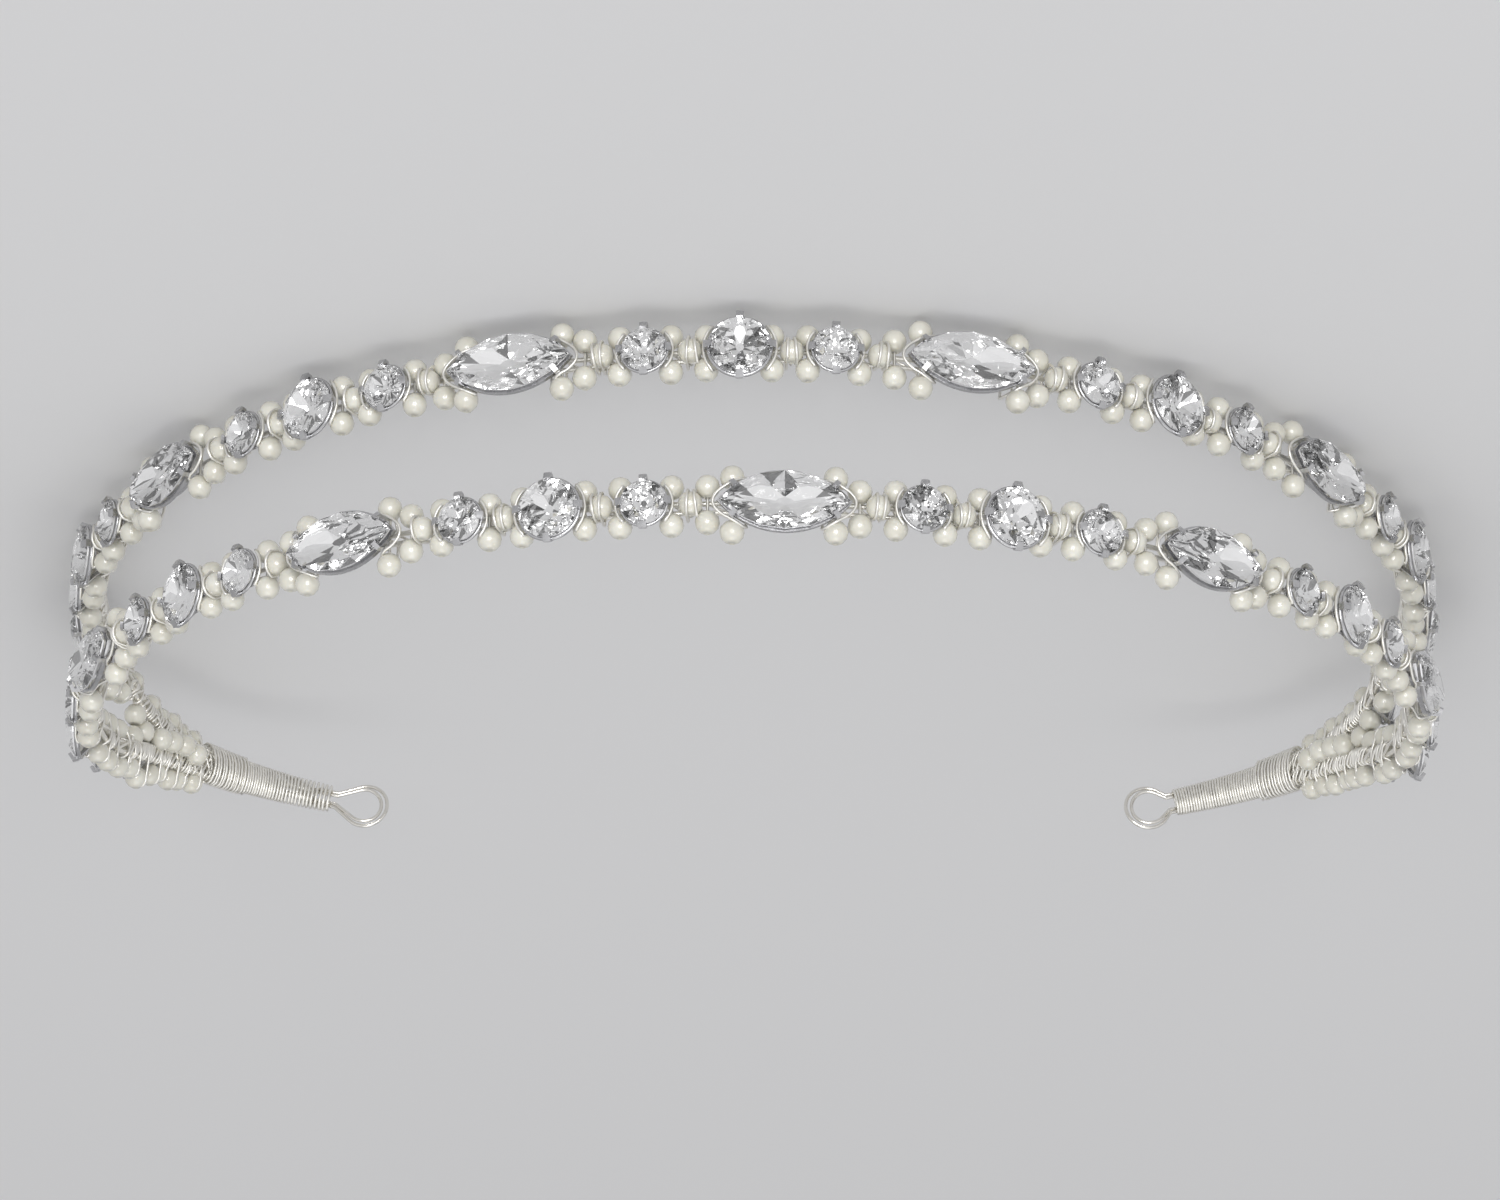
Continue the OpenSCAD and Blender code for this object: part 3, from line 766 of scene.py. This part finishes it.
for end, way in ENDS.items():
    first = np.concatenate([CLOSE_TURNS, LOOP_SIDE_TURNS[end]])
    first = first[np.cumsum(first) < WRAP_LENGTH - LAYER_FROM]
    parts = [lashing(way), coil(way, LAYER_FROM, first, 0),
             coil(way, SECOND_LAYER_FROM, SECOND_LAYER_TURNS, SECOND_LAYER_HEIGHT[end]),
             leg(way, -LEG_ASIDE), leg(way, LEG_ASIDE)]
    wire_piece(f"{end}_winding", joined(parts), silver_wire, f"{end}_wrap")


# End loops. A doubled silver-plated wire bent to a teardrop, for a pin or a ribbon, its legs
# held in the wrap. The two strands lie side by side.
LOOP_WIDTH = 6.1
LOOP_STRAND_R = 0.23
# Reach beyond the wrap, and distance of the legs from its middle, with knees this far out
LOOPS = {"left": (7.1, 0.8), "right": (6.0, 1.05)}
KNEE_OUT = 0.2
# Points of half a bow, and of the straight line to its knee with both ends
BOW_POINTS = 24
STRAIGHT_POINTS = 6
loop_wire = metal("loop_wire", (0.93, 0.91, 0.87), (0.7, 0.68, 0.63), 0.14, 1100, 0.25)


def strand(end, out, inward, aside):
    """One strand of a teardrop: legs parallel to the wrap, straight lines from their knees that
    touch a circle, and that circle's far part, all moved outward by out, less the squared
    cosine of half the angle times inward, with a slow sine sideways."""
    loop_reach, apart = LOOPS[end]
    r = (LOOP_WIDTH - 4 * LOOP_STRAND_R) / 2
    centre = loop_reach - r - 2 * LOOP_STRAND_R
    from_knee = centre - KNEE_OUT
    slope = np.arcsin(r / np.hypot(from_knee, apart)) - np.arctan2(apart, from_knee)
    angle = np.linspace(0, np.pi / 2 + slope, BOW_POINTS)
    reach = r + out - inward * np.cos(angle / 2) ** 2
    bow = np.column_stack([centre + reach * np.cos(angle), reach * np.sin(angle)])
    foot = np.array([[u, apart + out] for u in (KNEE_OUT, -LEG_IN_WRAP / 2, -LEG_IN_WRAP)])
    shares = np.linspace(0, 1, STRAIGHT_POINTS)[1:-1, None]
    straight = bow[-1] + shares * (foot[0] - bow[-1])
    half = np.concatenate([bow, straight, foot])
    flat = np.concatenate([half[:0:-1], half * (1, -1)]) * (ENDS[end], 1)
    wave = aside * np.sin(np.linspace(0, 3 * np.pi, len(flat)))
    frames = end_station(ENDS[end], np.full(len(flat), WRAP_LENGTH))
    path = placed(frames, np.column_stack([flat, wave])[:, None])[:, 0]
    return tube(path, frames[:, :3, 2], LOOP_STRAND_R, LEG_SIDES)


for end in ENDS:
    strands = [strand(end, out=0.21, inward=0, aside=0.1),
               strand(end, out=-0.21, inward=0.35, aside=-0.12)]
    wire_piece(f"{end}_loop", joined(strands), loop_wire, f"{end}_end_loop")


# Camera. It stands in front of the headband's middle, above the floor at the photograph's
# angle, and is turned over about its own axis, as the photograph shows the rear row on top.
VIEW_DISTANCE = 900
PIXELS_A_MM = 8.8
IMAGE = np.array([1500, 1200])
VIEW_UP = np.radians(23.7)
VIEW_ROLL = np.radians(0.25)
# Pixel of the point midway between the rows' middles
APEX_PIXEL = np.array([753.2, 432.1])
apex = np.array([0, -TO_MIDDLE, LIFT])
away = np.array([0, -np.cos(VIEW_UP), np.sin(VIEW_UP)])
right = np.array([-1.0, 0, 0])
up = np.cross(away, right)
focal = PIXELS_A_MM * VIEW_DISTANCE
off = (APEX_PIXEL - IMAGE / 2) * (1, -1) / focal
back = away + off[0] * right + off[1] * up
back /= np.linalg.norm(back)
right = np.cross(up, back)
right /= np.linalg.norm(right)
up = np.cross(back, right)
right, up = (right * np.cos(VIEW_ROLL) + up * np.sin(VIEW_ROLL),
             up * np.cos(VIEW_ROLL) - right * np.sin(VIEW_ROLL))
lens = bpy.data.cameras.new("camera")
lens.sensor_width = 36
lens.lens = focal / IMAGE[0] * lens.sensor_width
lens.clip_start = 0.01
lens.clip_end = 50
camera = bpy.data.objects.new("camera", lens)
bpy.context.scene.collection.objects.link(camera)
stand = np.eye(4)
stand[:3, 0], stand[:3, 1], stand[:3, 2] = right, up, back
stand[:3, 3] = (apex + away * VIEW_DISTANCE) * MM
camera.matrix_world = Matrix(stand)
bpy.context.scene.camera = camera


# Floor. Plain, pale and matt, with its top at the height the headband rests on.
FLOOR_HALF = 3000
floor_corners = [(x * FLOOR_HALF, y * FLOOR_HALF, 0) for x, y in ((-1, -1), (1, -1), (1, 1), (-1, 1))]
paper, tree, shader = group("paper", "matt")
shader.inputs["Base Color"].default_value = (0.74, 0.74, 0.745, 1)
shader.inputs["Roughness"].default_value = 0.9
mesh("floor", floor_corners, [[0, 1, 2, 3]], [paper])


# Lights. Four soft lamps in a square, just behind the camera and with its middle a little
# lower, stand for a ring light. A broad lamp hangs overhead.
RING_HALF = 210
RING_WIDE = 95
RING_LONG = 2 * RING_HALF - RING_WIDE
RING_Y = -1060
RING_Z = 230
RING_TARGET = (0, -20, 10)
RING_POWER = 1.15
OVERHEAD = (0, -150, 900)
OVERHEAD_TARGET = (0, -20, 0)
OVERHEAD_SIZE = 600
OVERHEAD_POWER = 1


def area(name, place, target, wide, tall, power):
    """A rectangular lamp at a place in millimetres, facing its target."""
    lamp = bpy.data.lights.new(name, "AREA")
    lamp.shape = "RECTANGLE"
    lamp.size = wide * MM
    lamp.size_y = tall * MM
    lamp.energy = power
    lit = bpy.data.objects.new(name, lamp)
    bpy.context.scene.collection.objects.link(lit)
    z = np.asarray(place, float) - np.asarray(target, float)
    z /= np.linalg.norm(z)
    x = np.cross((0, 0, 1.0) if abs(z[2]) < 0.99 else (0, 1.0, 0), z)
    x /= np.linalg.norm(x)
    m = np.eye(4)
    m[:3, 0], m[:3, 1], m[:3, 2], m[:3, 3] = x, np.cross(z, x), z, np.asarray(place) * MM
    lit.matrix_world = Matrix(m)


for side, x, z in (("top", 0, 1), ("foot", 0, -1), ("plus_x", 1, 0), ("minus_x", -1, 0)):
    wide, tall = (RING_LONG, RING_WIDE) if z else (RING_WIDE, RING_LONG)
    area(f"ring_{side}", (x * RING_HALF, RING_Y, RING_Z + z * RING_HALF), RING_TARGET,
         wide, tall, RING_POWER)
area("overhead", OVERHEAD, OVERHEAD_TARGET, OVERHEAD_SIZE, OVERHEAD_SIZE, OVERHEAD_POWER)

# The room is lighter in front of the headband than behind it
sky = bpy.data.worlds.new("studio")
sky.use_nodes = True
room = node(sky.node_tree, "ShaderNodeTexCoord")
facing = node(sky.node_tree, "ShaderNodeSeparateXYZ", {0: room.outputs["Generated"]})
glow = node(sky.node_tree, "ShaderNodeMapRange", {
    "Value": facing.outputs["Y"], "From Min": -0.5, "From Max": 0.3, "To Min": 0.84, "To Max": 0.48})
backdrop = sky.node_tree.nodes["Background"]
sky.node_tree.links.new(glow.outputs["Result"], backdrop.inputs["Strength"])
backdrop.inputs["Color"].default_value = (0.99, 0.99, 1, 1)
bpy.context.scene.world = sky
bpy.context.scene.view_settings.view_transform = "Standard"
# Light is reflected many times inside a cut crystal before it comes out again
BOUNCES = 24
for limit in ("max_bounces", "glossy_bounces", "transmission_bounces"):
    setattr(bpy.context.scene.cycles, limit, BOUNCES)
